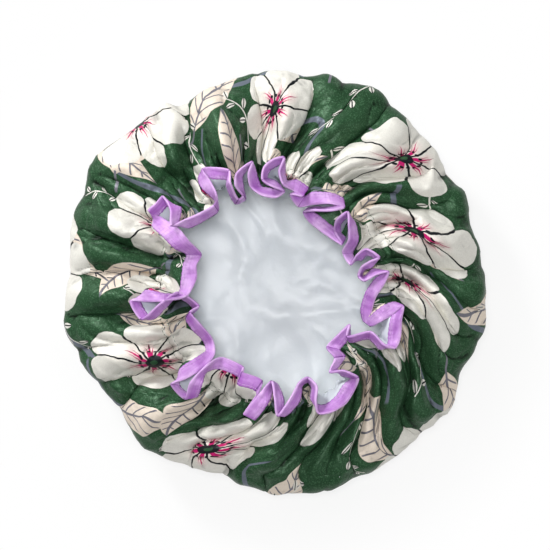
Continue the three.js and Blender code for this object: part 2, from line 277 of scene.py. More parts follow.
# The profile of the body from the gathers down to the crown's middle: radius and height in mm
PROFILE = [
    (77, 52.5), (79.3, 49.6), (85, 48), (96, 46.9), (110, 45.6), (124, 42.9), (134.5, 38.6),
    (142, 33), (145, 26.5), (143.6, 19), (138, 10.5), (129, 4), (118, 1), (106, 0.4), (88, 0.4),
    (66, 0.4), (44, 0.4), (22, 0.4), (0, 0.4),
]
# Where the cloth turns under, the radii between which the outline fades below it, and how far from the
# gathers the cloth's columns are still uneven
TURN_UNDER = 75 * MM
OUTLINE_FADE = (95 * MM, 135 * MM)
WANDER_REACH = 60 * MM


def profile_rows():
    """Rings of the body from the gathers to the crown: radius, height, arc length and point count."""
    points = np.array(PROFILE, float) * MM
    ends = np.vstack([2 * points[0] - points[1], points, points[-1] * (-1, 1)])
    places = np.linspace(0, len(points) - 1, PROFILE_SAMPLES)
    before = np.minimum(places.astype(int), len(points) - 2)
    p0, p1, p2, p3 = (ends[before + step] for step in range(4))
    curve = bridge(p1, p2, (p2 - p0) * 0.5, (p3 - p1) * 0.5, (places - before)[:, None])
    length = length_along(curve)
    rows = []
    along = 0.0
    while along < length[-1] - 2 * MM:
        radius, height = (np.interp(along, length, curve[:, axis]) for axis in (0, 1))
        upper = [part for limit, *part in UPPER_STEPS if along < limit]
        lower = [part for limit, *part in LOWER_STEPS if radius > limit]
        count, step = (upper + lower)[0]
        rows.append((radius, height, along, count))
        along += step
    rows.append((0.0, curve[-1, 1], length[-1], 1))
    return rows, length[-1]


body_rows, body_length = profile_rows()
rows_radius, rows_height, rows_along, _ = np.array(body_rows).T
cut_radius = body_length + RUFFLE_LENGTH


def ease(value, low, high):
    """A smooth step from 0 at low to 1 at high."""
    part = np.clip((value - low) / (high - low), 0, 1)
    return part * part * (3 - 2 * part)


def outline_scale(turn):
    """How far the outline stands out at a turn, as a share of the rim's radius."""
    pixels = np.array(OUTLINE_PX, float)
    rim = at_pixel(pixels, np.full(len(pixels), RIM_HEIGHT))
    angle = np.unwrap(np.arctan2(rim[:, 1], rim[:, 0])) % TURN
    radius = np.hypot(rim[:, 0], rim[:, 1]) / RIM_RADIUS
    order = np.argsort(angle)
    scale = np.interp(turn % TURN, angle[order], radius[order], period=TURN)
    return smooth_round(scale, len(turn) / OUTLINE_SMOOTHING)


# The folds that the photograph shows best, as lines in its pixels: 1 is a ridge and -1 a valley
CREASES_PX = [
    (-1, [(192, 104), (187, 132), (185, 167), (198, 198)]),
    (1, [(179, 112), (172, 140), (176, 170)]),
    (-1, [(155, 125), (160, 150), (172, 180)]),
    (1, [(101, 226), (136, 237), (164, 249)]),
    (-1, [(101, 233), (136, 244), (164, 256)]),
    (1, [(95, 258), (129, 257), (167, 263)]),
    (-1, [(98, 265), (129, 264), (167, 270)]),
    (1, [(80, 303), (112, 303), (135, 296)]),
    (-1, [(83, 310), (114, 310), (140, 308)]),
    (1, [(92, 372), (120, 366), (150, 355)]),
    (-1, [(95, 379), (124, 373), (155, 365)]),
    (-1, [(123, 415), (146, 387), (172, 372)]),
    (1, [(140, 435), (165, 410), (182, 392)]),
    (-1, [(196, 462), (206, 430), (212, 395)]),
    (1, [(216, 466), (224, 430), (228, 398)]),
    (-1, [(242, 427), (257, 474), (271, 491)]),
    (1, [(262, 425), (272, 455), (283, 485)]),
    (-1, [(300, 485), (297, 450), (294, 418)]),
    (-1, [(352, 470), (342, 440), (332, 415)]),
    (-1, [(412, 436), (392, 412), (366, 385)]),
    (1, [(430, 420), (408, 395), (385, 365)]),
    (-1, [(397, 347), (434, 373), (455, 385)]),
    (1, [(383, 295), (403, 304), (434, 301), (464, 292), (481, 286)]),
    (-1, [(385, 283), (405, 283), (431, 277), (462, 268)]),
    (1, [(378, 255), (410, 243), (450, 232)]),
    (-1, [(366, 240), (400, 222), (440, 200)]),
    (-1, [(310, 182), (336, 161), (375, 127), (394, 110)]),
    (1, [(318, 190), (345, 168), (384, 136), (403, 120)]),
    (-1, [(290, 155), (300, 120), (312, 82)]),
    (-1, [(262, 152), (258, 120), (250, 85)]),
    (1, [(232, 160), (222, 125), (212, 92)]),
]
CREASE_WIDTH = 2.2 * MM
CREASE_SAMPLES = 40

# The least step along a ring, as a share of its even step, and the rounds that keep to it
LEAST_STEP = 0.22
CROSSING_ROUNDS = 90

# How near to the gathers the lining is drawn back under the shell, and how far under it
TUCK_REACH = 3.5 * MM
TUCK_GAP = 0.25 * MM

# The valleys that get painted shade: how far to each side they are measured, and their depths
NARROW_HOLLOWS = (1.3 * MM, 0.1 * MM, 0.65 * MM)
BROAD_HOLLOWS = (5 * MM, 0.1 * MM, 2.4 * MM)

# How the slack cloth folds: the length of a fold at the gathers in mm and its growth along the profile,
# how sharply its valleys are pinched, how many rounds it settles for, and its share of the slack at
# distances from the gathers in mm
FOLD_COLUMNS = 1440
FOLD_STEP = 1.2 * MM
FOLD_REACH = 108 * MM
FOLD_FADE = (-13 * MM, 1 * MM)
FOLD_STIFFNESS = 0.25
MAIN_FOLDS = {
    "length": 8.0, "growth": 0.5, "pinch": 0.3, "rounds": 320, "seed": 21, "drawn": True,
    "shares": [(0, 0.12), (3, 0.16), (8, 0.42), (16, 0.56), (40, 0.58), (62, 0.44), (80, 0.12), (108, 0)],
}
FINE_FOLDS = {
    "length": 4.2, "growth": 0.13, "pinch": 0.4, "rounds": 160, "seed": 5, "drawn": False,
    "shares": [(0, 0.3), (3, 0.5), (7, 0.78), (14, 0.66), (24, 0.38), (38, 0.16), (56, 0), (108, 0)],
}

# The random folds that the settling starts from: the rounds of smoothing along the cloth, the spread of
# fold lengths and the steepness. Then the least slack and slope, and how the photograph's folds count:
# in the slope, at the start and in each round
NOISE_ROUNDS = 60
LENGTH_SPREAD = 0.7
START_LENGTHS = 7
LEAST_SLACK = 0.02
LEAST_SLOPE = 0.004
DRAWN_SLOPE = 1.1
DRAWN_START = 0.25
DRAWN_PUSH = 0.1
# What keeps a round steady, what holds the cloth to its profile, the steepest slope that counts, and
# how far neighbouring rows blend
STEADY_SHARE = 3.0
STEADY_LEAST = 0.3
HOLD = 40
STEEPEST = 1.6
NOISE_BLEND = 0.25
ROW_BLEND = 0.22

# The crumples of the flat cloth: how wide and how deep, in mm, and how sharp. Then the width and reach
# in mm with which they wander, their signs, how much wider than them their patches are, and their share
# at distances from the gathers in mm
CRUMPLES = [(46, 3.8, 5), (30, 3.0, 4), (19, 1.9, 3), (12, 1.0, 3)]
CRUMPLE_WARP = (38, 9)
WARP_SEEDS = (51, 52)
SIGN_SEEDS = ((1, 60), (-1, 80))
PATCH_WIDTH = 3
PATCH_SEED = 10
CRUMPLE_SHARES = [
    (-24, 0), (-18, 0.04), (-13, 0.22), (-6, 0.3), (-2, 0.2), (0, 0.15), (4, 0.25), (10, 0.95), (30, 1),
    (60, 0.85), (85, 0.3), (110, 0.25), (130, 0),
]
NOISE_CELLS = 64


def share_along(along, shares):
    """A share read from its values at distances from the gathers in mm."""
    places, values = np.array(shares).T
    return np.interp(along, places * MM, values)


def fold_slope(along, shares):
    """How steeply the slack cloth folds at each distance from the gathers."""
    slack = (body_length - along) / np.interp(along, rows_along, rows_radius)
    return np.sqrt(np.maximum(slack**2 - 1, LEAST_SLACK)) * share_along(along, shares)


def crease_pull(middle):
    """How strongly each point of the fold grid is drawn up or down by the photograph's folds."""
    scale = PIXEL_SLOPE * (CAMERA_HEIGHT - middle[..., 2])
    x = PHOTO_MIDDLE + (middle[..., 0] - CAMERA_X) / scale
    y = PHOTO_MIDDLE - (middle[..., 1] - CAMERA_Y) / scale
    pull = np.zeros(scale.shape)
    for sign, line in CREASES_PX:
        places = np.linspace(0, len(line) - 1, CREASE_SAMPLES)
        line_x, line_y = (np.interp(places, np.arange(len(line)), values) for values in zip(*line))
        nearest = np.min([np.hypot(x - a, y - b) * scale for a, b in zip(line_x, line_y)], axis=0)
        pull += sign * np.exp(-((nearest / CREASE_WIDTH) ** 2))
    return pull


def blend_rows(grid, share):
    """Blends each row of a grid with its neighbours, in place."""
    grid[1:-1] = (1 - 2 * share) * grid[1:-1] + share * (grid[2:] + grid[:-2])


def filtered(grid, gain):
    """The rows of a grid with each of their waves scaled by its gain."""
    return np.fft.irfft(np.fft.rfft(grid, axis=1) * gain, FOLD_COLUMNS, axis=1)


def settled_folds(middle, along, folds):
    """How far the cloth stands off its profile and is drawn sideways, in mm, on a grid of rows and columns.

    The cloth is longer round than the space it lies in. Its slope settles at one of two values, up or
    down, with ridges and valleys between them that merge as they run outwards. The sideways part
    rounds the ridges and pinches the valleys.
    """
    rng = np.random.default_rng(folds["seed"])
    spacing = (TURN * np.interp(along, rows_along, rows_radius) / FOLD_COLUMNS / MM)[:, None]
    wave = TURN * np.fft.rfftfreq(FOLD_COLUMNS)[None, :] / spacing
    plain_slope = np.maximum(fold_slope(along, folds["shares"])[:, None], LEAST_SLOPE)
    length = (folds["length"] + folds["growth"] * along / MM)[:, None]
    height = rng.normal(size=(len(along), FOLD_COLUMNS))
    for _ in range(NOISE_ROUNDS):
        blend_rows(height, NOISE_BLEND)
    height = filtered(height, np.exp(-((wave * length / TURN - 1) ** 2) / LENGTH_SPREAD))
    height *= plain_slope * length / START_LENGTHS / np.maximum(height.std(axis=1, keepdims=True), 1e-9)
    pull = crease_pull(middle) if folds["drawn"] else np.zeros_like(height)
    slope = plain_slope * (1 + DRAWN_SLOPE * np.abs(pull))
    height += pull * slope * length * DRAWN_START
    steady = STEADY_SHARE * slope.max(axis=1, keepdims=True) ** 2 + STEADY_LEAST
    hold = HOLD * plain_slope * FOLD_STIFFNESS**0.5 / length**3
    damping = 1 + steady * wave**2 + FOLD_STIFFNESS * wave**4 + hold
    for _ in range(folds["rounds"]):
        rise = (np.roll(height, -1, axis=1) - height) / spacing
        rise = np.clip(rise, -STEEPEST * slope, STEEPEST * slope)
        push = rise**3 - (slope**2 + steady) * rise
        flow = (push - np.roll(push, 1, axis=1)) / spacing
        height = filtered(height + flow + pull * slope**2 * DRAWN_PUSH, 1 / damping)
        blend_rows(height, ROW_BLEND)
    height -= height.mean(axis=1, keepdims=True)
    rise = (np.roll(height, -1, axis=1) - np.roll(height, 1, axis=1)) / (2 * spacing)
    return height, -rise * folds["pinch"] / np.maximum(plain_slope, folds["pinch"]) * length / TURN


def row_points(radius, height, along, turn):
    """The points of one ring of the body, before its folds."""
    if along < TURN_UNDER:
        share = uneven = np.clip((radius - GATHER_RADIUS) / (RIM_RADIUS - GATHER_RADIUS), 0, 1)
    else:
        share, uneven = 1.0, float(ease(radius, *OUTLINE_FADE))
    scaled = radius * (1 + (outline_scale(turn) - 1) * uneven)
    return round_points(scaled, turn, height) + GATHER_MIDDLE * (1, 1, 0) * (1 - share)


def turns(places, along):
    """The turn of the cloth's columns at the places, uneven at the gathers and even further out."""
    steady = turn_at[0] - TURN * places / len(turn_at)
    wander = turn_at - turn_at[0] + even_turns(len(turn_at))
    return steady + closed_curve(wander[:, None], places)[:, 0] * (1 - float(ease(along, 0, WANDER_REACH)))


def middle_rings():
    """The surface midway between the layers, before its folds, ring by ring from the crown.

    Each ring comes with its distance from the gathers, below 0 in the ruffle, and its points' places.
    """
    places = np.arange(RUFFLE_POINTS) / RUFFLE_POINTS * len(turn_at)
    gather = closed_curve(gather_at, places)
    sewn = closed_curve(sewn_at, places, TAPE_LOOSENESS)
    free = closed_curve(free_at, places, TAPE_LOOSENESS)
    turn = turns(places, 0.0)
    laid = []
    for radius, height, along, count in reversed(body_rows[1:]):
        columns = places[::RUFFLE_POINTS // count]
        laid.append((row_points(radius, height, along, turns(columns, along)), along, columns))
    laid.append((gather, 0.0, places))
    leave = UNBOUND_LENGTH * unit(round_points(-1, turn, RUFFLE_START_SLOPE)) * RUFFLE_LEAVING
    arrive = UNBOUND_LENGTH * unit(free - sewn) * RUFFLE_REACHING
    for part in RUFFLE_PARTS:
        ring = bridge(gather, sewn, leave, arrive, part)
        if part < RUFFLE_SMOOTH_END:
            ring = smooth_round(ring, RUFFLE_SMOOTHING * (RUFFLE_SMOOTH_END - part))
        laid.append((ring, -part * UNBOUND_LENGTH, places))
    for part in BINDING_PARTS:
        laid.append((between(sewn, free, part), -UNBOUND_LENGTH - part * BINDING_WIDTH, places))
    rings, alongs, columns = zip(*laid)
    return rings, alongs, columns, sewn, free


def fold_offsets(along, places):
    """How far points of the cloth stand off the surface and are drawn sideways by the settled folds."""
    rows = np.arange(0, FOLD_REACH, FOLD_STEP)
    columns = np.arange(FOLD_COLUMNS) / FOLD_COLUMNS * len(turn_at)
    middle = np.stack([
        row_points(np.interp(row, rows_along, rows_radius), np.interp(row, rows_along, rows_height),
                   row, turns(columns, row))
        for row in rows
    ])
    left, right, part = round_places(places / len(turn_at) * FOLD_COLUMNS, FOLD_COLUMNS)
    row = np.minimum(np.abs(along) / FOLD_STEP, len(rows) - 1.001)
    near = row.astype(int)
    fade = ease(along, *FOLD_FADE) * MM
    offsets = np.zeros((2, len(along)))
    for folds in (MAIN_FOLDS, FINE_FOLDS):
        for offset, grid in zip(offsets, settled_folds(middle, rows, folds)):
            read = [between(grid[here, left], grid[here, right], part) for here in (near, near + 1)]
            offset += between(*read, row - near) * fade
    return offsets


def cloth_noise(flat, size, seed):
    """Smooth noise between -1 and 1 over places on the flat cloth, with features of the given size."""
    rng = np.random.default_rng(seed)
    table = rng.uniform(-1, 1, (NOISE_CELLS, NOISE_CELLS))
    spot = turned(flat, rng.uniform(0, TURN)) / size
    cell = np.floor(spot).astype(int)
    part = spot - cell
    across, up = (part**3 * (part * (part * 6 - 15) + 10)).T
    x, y = cell.T % NOISE_CELLS
    next_x, next_y = (x + 1) % NOISE_CELLS, (y + 1) % NOISE_CELLS
    low = between(table[x, y], table[next_x, y], across)
    high = between(table[x, next_y], table[next_x, next_y], across)
    return between(low, high, up)


def crumple_heights(flat, along):
    """How far points of the cloth stand off in crumples with sharp ridges and valleys.

    They are laid out on the flat cloth, so the gathers press them together round the opening.
    """
    size, reach = CRUMPLE_WARP
    drift = np.column_stack([cloth_noise(flat, size * MM, seed) for seed in WARP_SEEDS]) * reach * MM
    height = np.zeros(len(flat))
    for number, (size, depth, sharpness) in enumerate(CRUMPLES):
        for sign, seed in SIGN_SEEDS:
            crease = (1 - np.abs(cloth_noise(flat + drift, size * MM, seed + number))) ** sharpness
            patch = 0.5 + 0.5 * cloth_noise(flat, PATCH_WIDTH * size * MM, seed + PATCH_SEED + number)
            height += sign * depth * MM * crease * patch
    return height * share_along(along, CRUMPLE_SHARES)


def wide_rings(rings):
    """The rings that are fine enough to hold folds, each with the slice of its points."""
    start = 0
    for ring in rings:
        if len(ring) >= BODY_POINTS:
            yield ring, slice(start, start + len(ring))
        start += len(ring)


def steps_round(line):
    return np.linalg.norm(np.roll(line, -1, axis=0) - line, axis=1)


def tangents(line):
    """The direction of a closed line at each point."""
    return unit(np.roll(line, -1, axis=0) - np.roll(line, 1, axis=0))


def uncrossed(points, sideways, rings):
    """The points of each ring spread along it where folds would carry the cloth over itself."""
    for ring, part in wide_rings(rings):
        here = points[part]
        along = sideways[part]
        least = LEAST_STEP * steps_round(ring)
        for _ in range(CROSSING_ROUNDS):
            step = np.einsum("ij,ij->i", np.roll(here, -1, axis=0) - here, along)
            push = np.maximum(least - step, 0)[:, None] * along / 2
            here += np.roll(push, 1, axis=0) - push
    return points


def ring_faces(rings):
    """Faces between neighbouring rings, each with as many points as the one before or twice as many."""
    faces = []
    start = 0
    for count, next_count in zip(map(len, rings[:-1]), map(len, rings[1:])):
        next_start = start + count
        i = np.arange(next_count)
        after = next_start + (i + 1) % next_count
        if next_count == count:
            faces += np.column_stack([start + i, next_start + i, after, start + (i + 1) % count]).tolist()
        else:
            ratio = next_count // count
            apex = start + -(-i // ratio) % count
            faces += np.column_stack([apex, next_start + i, after]).tolist()
        if 1 < count < next_count:
            k = np.arange(count)
            closing = next_start + (k * ratio + 1) % next_count
            faces += np.column_stack([start + k, closing, start + (k + 1) % count]).tolist()
        start = next_start
    return faces


def point_normals(points, faces):
    """The normal at each point, from the triangles and quads that meet there."""
    normals = np.zeros_like(points)
    for size in (3, 4):
        some = np.array([face for face in faces if len(face) == size])
        corners = points[some]
        crossed = np.cross(corners[:, 2] - corners[:, 0], corners[:, -1] - corners[:, 1])
        for corner in some.T:
            np.add.at(normals, corner, crossed)
    return unit(normals)


def hollows(points, normals, rings, apart, shallow, deep):
    """How deep each point lies in a valley of the cloth, measured to either side, from 0 to 1."""
    depth = np.zeros(len(points))
    for ring, part in wide_rings(rings):
        here = points[part]
        reach = max(1, round(apart / steps_round(ring).mean()))
        around = 0.5 * (np.roll(here, -reach, axis=0) + np.roll(here, reach, axis=0)) - here
        depth[part] = ease(np.einsum("ij,ij->i", around, normals[part]), shallow, deep)
    return depth


def tucked(points, cover, faces, checked):
    """The checked points of the lining drawn back under the shell where folds carry them out past it."""
    tree = BVHTree.FromPolygons(cover.tolist(), faces)
    for index in np.flatnonzero(checked):
        point = Vector(points[index])
        spot, normal, _, _ = tree.find_nearest(point)
        if (point - spot).dot(normal) > 0:
            points[index] = spot - normal * TUCK_GAP
    return points


def add_object(name, data):
    thing = bpy.data.objects.new(name, data)
    bpy.context.scene.collection.objects.link(thing)
    return thing


def mesh_object(name, points, faces, material):
    mesh = bpy.data.meshes.new(name)
    mesh.from_pydata(points, [], faces)
    mesh.update()
    mesh.materials.append(material)
    return add_object(name, mesh)


def new_piece(name, points, faces, material, replaced):
    piece = mesh_object(name, points.tolist(), faces, material)
    piece.data.shade_smooth()
    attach(piece, "root")
    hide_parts(replaced)
    return piece


def lay_uv(piece, name, places):
    piece.data.uv_layers.new(name=name).data.foreach_set("uv", places.ravel())


def colour(red, green, blue):
    """A colour as the shader wants it, from its 0 to 255 values."""
    return tuple(
        c / 12.92 if c <= 0.04045 else ((c + 0.055) / 1.055) ** 2.4
        for c in (red / 255, green / 255, blue / 255)
    ) + (1,)


def operator(operation, swapped=False):
    """A method that adds a math node for its two operands."""
    def method(wire, other):
        return wire.nodes.math(operation, *((other, wire) if swapped else (wire, other)))
    return method


class Wire:
    """What a node gives out. Arithmetic on it adds further nodes."""

    def __init__(self, nodes, socket):
        self.nodes, self.socket = nodes, socket

    def __abs__(self):
        return self.nodes.math("ABSOLUTE", self)

    __add__, __radd__ = operator("ADD"), operator("ADD", swapped=True)
    __sub__, __rsub__ = operator("SUBTRACT"), operator("SUBTRACT", swapped=True)
    __mul__, __rmul__ = operator("MULTIPLY"), operator("MULTIPLY", swapped=True)
    __pow__ = operator("POWER")


class Nodes:
    """Builds one material's node tree from short arithmetic."""

    def __init__(self, name):
        self.material = bpy.data.materials.new(name)
        self.material.use_nodes = True
        self.tree = self.material.node_tree
        self.shader = self.tree.nodes["Principled BSDF"]
        self.place = self.add("ShaderNodeTexCoord", "Object")

    def add(self, kind, output, inputs=(), **settings):
        """The named output of a new node, with its inputs given by name or number."""
        node = self.tree.nodes.new(kind)
        for key, value in settings.items():
            setattr(node, key, value)
        for key, value in dict(inputs).items():
            self.plug(node.inputs[key], value)
        return Wire(self, node.outputs[output])

    def plug(self, socket, value):
        if isinstance(value, Wire):
            self.tree.links.new(value.socket, socket)
        else:
            socket.default_value = value

    def shade(self, sockets):
        """The finished material, with the shader's sockets as given by name."""
        for name, value in sockets.items():
            self.plug(self.shader.inputs[name], value)
        return self.material

    def math(self, operation, *values):
        return self.add("ShaderNodeMath", 0, enumerate(values), operation=operation)

    def step(self, value, low, high):
        """A smooth step of the value from 0 at low to 1 at high, or the other way if high is lower."""
        (start, first), (end, last) = sorted([(low, 0.0), (high, 1.0)])
        inputs = {"Value": value, "From Min": start, "From Max": end, "To Min": first, "To Max": last}
        return self.add("ShaderNodeMapRange", "Result", inputs, interpolation_type="SMOOTHSTEP")

    def mix(self, share, first, second, blend="MIX"):
        inputs = {"Factor": share, "A": first, "B": second}
        return self.add("ShaderNodeMix", "Result", inputs, data_type="RGBA", blend_type=blend)

    def painted(self, ground, layers):
        """The ground under layers of colour, each with its share."""
        for share, tint in layers:
            ground = self.mix(share, ground, tint)
        return ground

    def noise(self, scale, detail=2.0, roughness=0.5, place=None):
        inputs = {"Vector": place or self.place, "Scale": scale, "Detail": detail, "Roughness": roughness}
        return self.add("ShaderNodeTexNoise", "Fac", inputs)

    def part(self, vector, axis):
        return self.add("ShaderNodeSeparateXYZ", axis, {0: vector})

    def combined(self, x, y):
        return self.add("ShaderNodeCombineXYZ", 0, {0: x, 1: y})

    def mapped(self, name):
        """The x and y of a UV map."""
        uv = self.add("ShaderNodeUVMap", 0, uv_map=name)
        return self.part(uv, "X"), self.part(uv, "Y")

    def relief(self, layers):
        """A normal from layers of relief, each with its height and depth."""
        normal = {}
        for height, depth in layers:
            inputs = {"Strength": 1.0, "Distance": depth, "Height": height, **normal}
            normal = {"Normal": self.add("ShaderNodeBump", 0, inputs)}
        return normal["Normal"]


GREEN = colour(47, 83, 54)
GREEN_DEEP = colour(32, 62, 39)
GREEN_GLINT = colour(78, 120, 86)
CREAM = colour(226, 224, 216)
CREAM_SHADE = colour(218, 214, 203)
BEIGE = colour(230, 217, 202)
BEIGE_SHADE = colour(218, 204, 189)
VEIN = colour(118, 117, 126)
STEM = colour(104, 112, 124)
BLACK = colour(24, 27, 31)
MAGENTA = colour(196, 32, 108)
PINK = colour(234, 182, 184)
FILM = colour(224, 232, 237)
FILM_LIGHT = colour(237, 241, 244)
# The film's painted shade in the ruffle
FILM_PAINTED_SHADE = colour(194, 201, 208)
LILAC = colour(182, 120, 202)
LILAC_LIGHT = colour(215, 174, 227)
# Painted light on the binding: a highlight along its edge, then shade in its hollows and folds, and shadow
# along its seam and at its bends
LILAC_EDGE_HIGHLIGHT = colour(228, 192, 238)
LILAC_SUNKEN_SHADE = colour(150, 74, 176)
LILAC_SHADE_BESIDE_BEND = colour(142, 62, 168)
LILAC_CREASE_SHADE = colour(140, 68, 164)
LILAC_PUCKER_SHADE = colour(134, 64, 158)
LILAC_SEAM_SHADOW = colour(120, 50, 142)
LILAC_BEND_SHADOW = colour(90, 26, 114)
GREEN_THREAD = colour(58, 92, 64)
LILAC_THREAD = colour(222, 178, 236)
ELASTIC = colour(226, 226, 222)
ELASTIC_SHADE = colour(196, 196, 192)

# The blossom, measured in its radius. A pair says where an edge starts and ends to fade. A streak has
# its lean to the side of its petal, its reach and its half thickness
PETALS = 7
PETAL_WAVE = 0.14
PETAL_NOTCH = 0.24
PETAL_EDGE = (0.0, 0.012)
PETAL_BLUSH = (0.56, 0.14)
STREAKS = ((0.0, 0.52, 0.034), (0.17, 0.42, 0.022), (-0.17, 0.4, 0.022))
STREAK_EDGE = (0.0, 0.004)
SEAM = (0.019, 0.012)
SEAM_END = (0.9, 0.8)
DOTS = 17
DOTS_RADIUS = 0.225
DOT = (0.03, 0.023)
BUTTON = (0.14, 0.125)
BUTTON_HEART = (0.06, 0.05)

# The leaf, measured in its length
LEAF_BEND = 0.07
LEAF_WIDTH = 0.19
LEAF_EDGE = (0.0, 0.008)
VEINS = 7.0
VEIN_SLANT = 1.05
VEIN_WIDTH = (0.095, 0.055)
VEIN_END = (0.012, 0.03)
RIB = (0.016, 0.01)
STALK = (0.016, 0.011)

# The stem and the sprig, measured in their lengths
STEM_WAVE = (4.4, 0.13)
STEM_WIDTH = (0.018, 0.014)
SPRIG_BOW = 0.16
SPRIG_TWIG = (0.013, 0.008)
SPRIG_LEAVES = 6.0
SPRIG_LEAF_OFF = 0.085
SPRIG_LEAF_LEAN = 1.2
SPRIG_LEAF_SCALE = 0.64
SPRIG_LEAF_LENGTH = 0.095
SPRIG_LEAF_WIDTH = 0.042
SPRIG_RIB = (0.01, 0.006)

# The satin, with painted glints and painted shade in its valleys. A noise has its scale, detail and
# roughness, and a relief its depth too. A pair says where something starts and ends to show, and a
# valley's painted shade how dark it is and how much less on pale print
GLINTS = (1000.0, 2.0, 0.7)
GLINT_EDGE = (0.5, 0.68)
GRAIN = (1100.0, 2.0, 0.7)
GRAIN_CONTRAST = 0.3
PALE = (0.3, 0.6)
VALLEY_PAINTED_SHADES = ((0.85, 0.45), (0.75, 0.65))
SATIN_CREASES = ((20.0, 1.5, 0.45, 1.5 * MM), (42.0, 1.0, 0.45, 0.8 * MM))
SATIN_WEAVE = ((420.0, 3.0, 0.6, 0.14 * MM), (1300.0, 2.0, 0.7, 0.08 * MM))
CREASED_FROM = (0.22, 0.36)
LEAST_CREASED = 0.3
PALE_SMOOTHER = 0.55

# The heights over which painted shade darkens the film in the ruffle. Then how often the tape's puckers
# and creases come across it and along it, and its sunken stretches with painted shade along it
FILM_SHADE_HEIGHTS = (GATHER_HEIGHT - 1 * MM, GATHER_HEIGHT + 4 * MM)
PUCKERS = (0.8, 5.0)
TAPE_CREASES = (5.0, 0.55)
SUNKEN_STRETCHES = 0.3
SUNKEN_EDGE = (0.48, 0.62)


def sector_of(n, angle, count, start):
    """Where an angle lies in its share of the turn, from -0.5 to 0.5."""
    return n.math("FRACT", angle * (count / TURN) + start) - 0.5


def root_of_squares(n, x, y):
    return n.math("SQRT", x * x + y * y)


def blossom(n, ground):
    """A round flower with broad overlapping petals, a rosy heart and a dark button with a ring of dots."""
    x, y = n.mapped("bloom")
    x += (n.noise(60.0) - 0.5) * PETAL_WAVE
    y += (n.noise(75.0) - 0.5) * PETAL_WAVE
    radius = root_of_squares(n, x, y)
    angle = n.math("ARCTAN2", y, x)
    sector = sector_of(n, angle, PETALS, 0.5)
    side = abs(sector) * 2.0
    layers = [
        (n.step(sector, 0.1, 0.5) * n.step(radius, 1.0, 0.2) * 0.8, CREAM_SHADE),
        (n.step(radius, *PETAL_BLUSH) * n.step(side, 1.0, 0.0) * 0.9, PINK),
    ]
    for lean, reach, thick in STREAKS:
        off = radius * abs(n.math("SINE", (sector - lean) * (TURN / PETALS)))
        layers.append((n.step(thick * (1.0 - radius * (1 / reach)) - off, *STREAK_EDGE), MAGENTA))
    seam = radius * n.math("SINE", (0.5 - abs(sector)) * (TURN / PETALS))
    off = radius * abs(n.math("SINE", sector_of(n, angle, DOTS, 0.2) * (TURN / DOTS)))
    layers += [
        (n.step(seam, *SEAM) * n.step(radius, *SEAM_END), BLACK),
        (n.step(root_of_squares(n, radius - DOTS_RADIUS, off), *DOT), BLACK),
        (n.step(radius, *BUTTON), BLACK),
        (n.step(radius, *BUTTON_HEART), GREEN),
    ]
    inside = n.step(1.0 - side**3.0 * PETAL_NOTCH - radius, *PETAL_EDGE)
    return n.mix(inside, ground, n.painted(CREAM, layers))


def leaf(n, ground, uv_name):
    """A long smooth leaf with a midrib and slanting veins."""
    x, y = n.mapped(uv_name)
    bend = n.math("SINE", x * math.pi) * LEAF_BEND
    across = abs(y - bend)
    along = n.math("MINIMUM", n.math("MAXIMUM", x, 0.0), 1.0)
    margin = n.math("SINE", along**0.78 * math.pi) * LEAF_WIDTH - across
    slant = n.math("FRACT", (x - across * VEIN_SLANT) * VEINS)
    vein = n.step(abs(slant - 0.5), *VEIN_WIDTH) * n.step(margin, *VEIN_END)
    blade = n.painted(BEIGE, [
        (n.step(y - bend, -0.01, 0.01) * 0.35, BEIGE_SHADE),
        (n.math("MAXIMUM", vein, n.step(across, *RIB)), VEIN),
    ])
    stalk = n.step(across, *STALK) * (n.step(x, -0.22, -0.2) * n.step(x, 0.03, 0.01))
    return n.painted(ground, [(n.step(margin, *LEAF_EDGE), blade), (stalk, VEIN)])


def stem(n, ground):
    """A long curving grey stem."""
    x, y = n.mapped("stem")
    bends, swing = STEM_WAVE
    thin, more = STEM_WIDTH
    across = abs(y - n.math("SINE", x * bends) * swing)
    width = thin + n.step(x, 0.0, 1.0) * more
    ends = n.step(x, 0.0, 0.02) * n.step(x, 1.0, 0.98)
    return n.mix(n.step(width - across, 0.0, 0.006) * ends, ground, STEM)


def sprig(n, ground):
    """A thin curved twig with small pale leaves on alternate sides, each with a dark midrib."""
    x, y = n.mapped("sprig")
    off_twig = y - n.math("SINE", x * math.pi) * SPRIG_BOW
    along_twig = n.step(x, 0.0, 0.01) * n.step(x, 1.0, 0.99)
    cell = x * SPRIG_LEAVES
    dx = (n.math("FRACT", cell) - 0.5) * (1 / SPRIG_LEAVES)
    side = n.math("MODULO", n.math("FLOOR", cell), 2.0) * 2.0 - 1.0
    dy = off_twig * side - SPRIG_LEAF_OFF
    length = (dx + dy * SPRIG_LEAF_LEAN) * SPRIG_LEAF_SCALE
    across = abs((dy - dx * SPRIG_LEAF_LEAN) * SPRIG_LEAF_SCALE)
    width = (1.0 - (length * (1 / SPRIG_LEAF_LENGTH)) ** 2.0) * SPRIG_LEAF_WIDTH
    return n.painted(ground, [
        (n.step(abs(off_twig), *SPRIG_TWIG) * along_twig, CREAM),
        (n.step(width - across, 0.0, 0.006) * along_twig, n.mix(n.step(across, *SPRIG_RIB), CREAM, BLACK)),
    ])


def satin_relief(n, pale):
    """Fine creases laid out on the flat cloth, so they crowd at the gathers, over the weave."""
    flat = n.add("ShaderNodeUVMap", 0, uv_map="OFBake")
    off = n.add("ShaderNodeVectorMath", "Value", {0: flat, 1: (0.5, 0.5, 0)}, operation="DISTANCE")
    creased = LEAST_CREASED + n.step(off, *CREASED_FROM) * (1 - LEAST_CREASED)
    creased *= 1.0 - pale * PALE_SMOOTHER
    layers = [(abs(n.noise(*noise, flat) - 0.5) ** 0.5 * creased, depth) for *noise, depth in SATIN_CREASES]
    layers += [(n.noise(*noise), depth) for *noise, depth in SATIN_WEAVE]
    return n.relief(layers)


